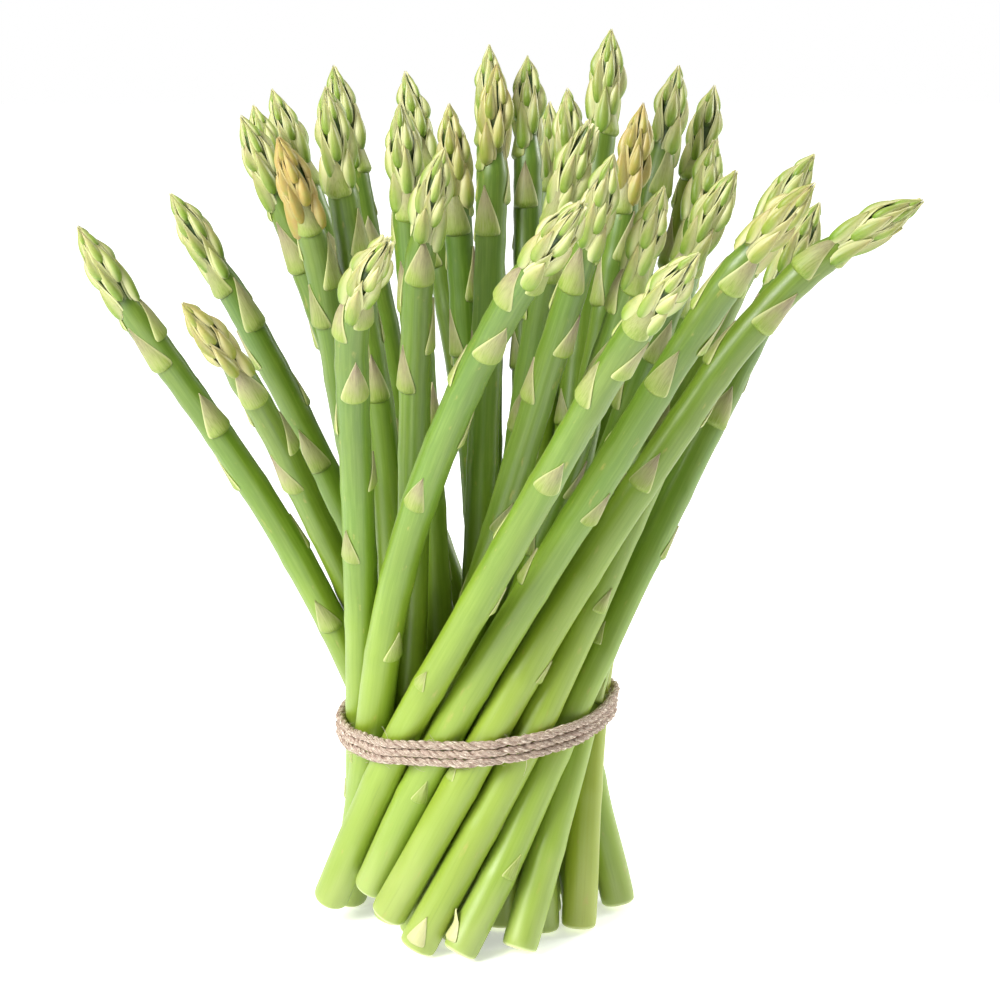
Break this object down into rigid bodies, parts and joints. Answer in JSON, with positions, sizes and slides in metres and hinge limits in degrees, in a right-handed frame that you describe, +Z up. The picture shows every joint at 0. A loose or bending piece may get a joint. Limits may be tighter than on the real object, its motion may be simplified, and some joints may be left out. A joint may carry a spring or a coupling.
{
  "type": "bundle of asparagus",
  "caption": "Bundle of green asparagus spears tied with three turns of natural twine, fanned and twisted, standing upright on its cut ends.",
  "frame": {"origin": "on the floor under the middle of the bundle's box", "axes": "+Z up through the tips, +X to the right and -Y towards the viewer, across the bundle"},
  "size_m": [0.202, 0.1824, 0.222],
  "materials": {
    "spear_skin": "waxy satin vegetable skin, bright green stems with paler yellow-green buds and beige-pink scale leaves",
    "twine_fibre": "natural jute or hemp twine, matt and slightly hairy"
  },
  "bodies": {
    "root": {"spear_01": "spear_skin", "spear_02": "spear_skin", "spear_03": "spear_skin", "spear_04": "spear_skin", "spear_05": "spear_skin", "spear_06": "spear_skin", "spear_07": "spear_skin", "spear_08": "spear_skin", "spear_09": "spear_skin", "spear_10": "spear_skin", "spear_11": "spear_skin", "spear_12": "spear_skin", "spear_13": "spear_skin", "spear_14": "spear_skin", "spear_15": "spear_skin", "spear_16": "spear_skin", "spear_17": "spear_skin", "spear_18": "spear_skin", "spear_19": "spear_skin", "spear_20": "spear_skin", "spear_21": "spear_skin", "spear_22": "spear_skin", "spear_23": "spear_skin", "spear_24": "spear_skin", "spear_25": "spear_skin", "spear_26": "spear_skin", "spear_27": "spear_skin", "spear_28": "spear_skin", "spear_29": "spear_skin", "spear_30": "spear_skin", "spear_31": "spear_skin", "spear_32": "spear_skin", "spear_33": "spear_skin", "spear_34": "spear_skin", "twine": "twine_fibre"}
  },
  "joints": []
}
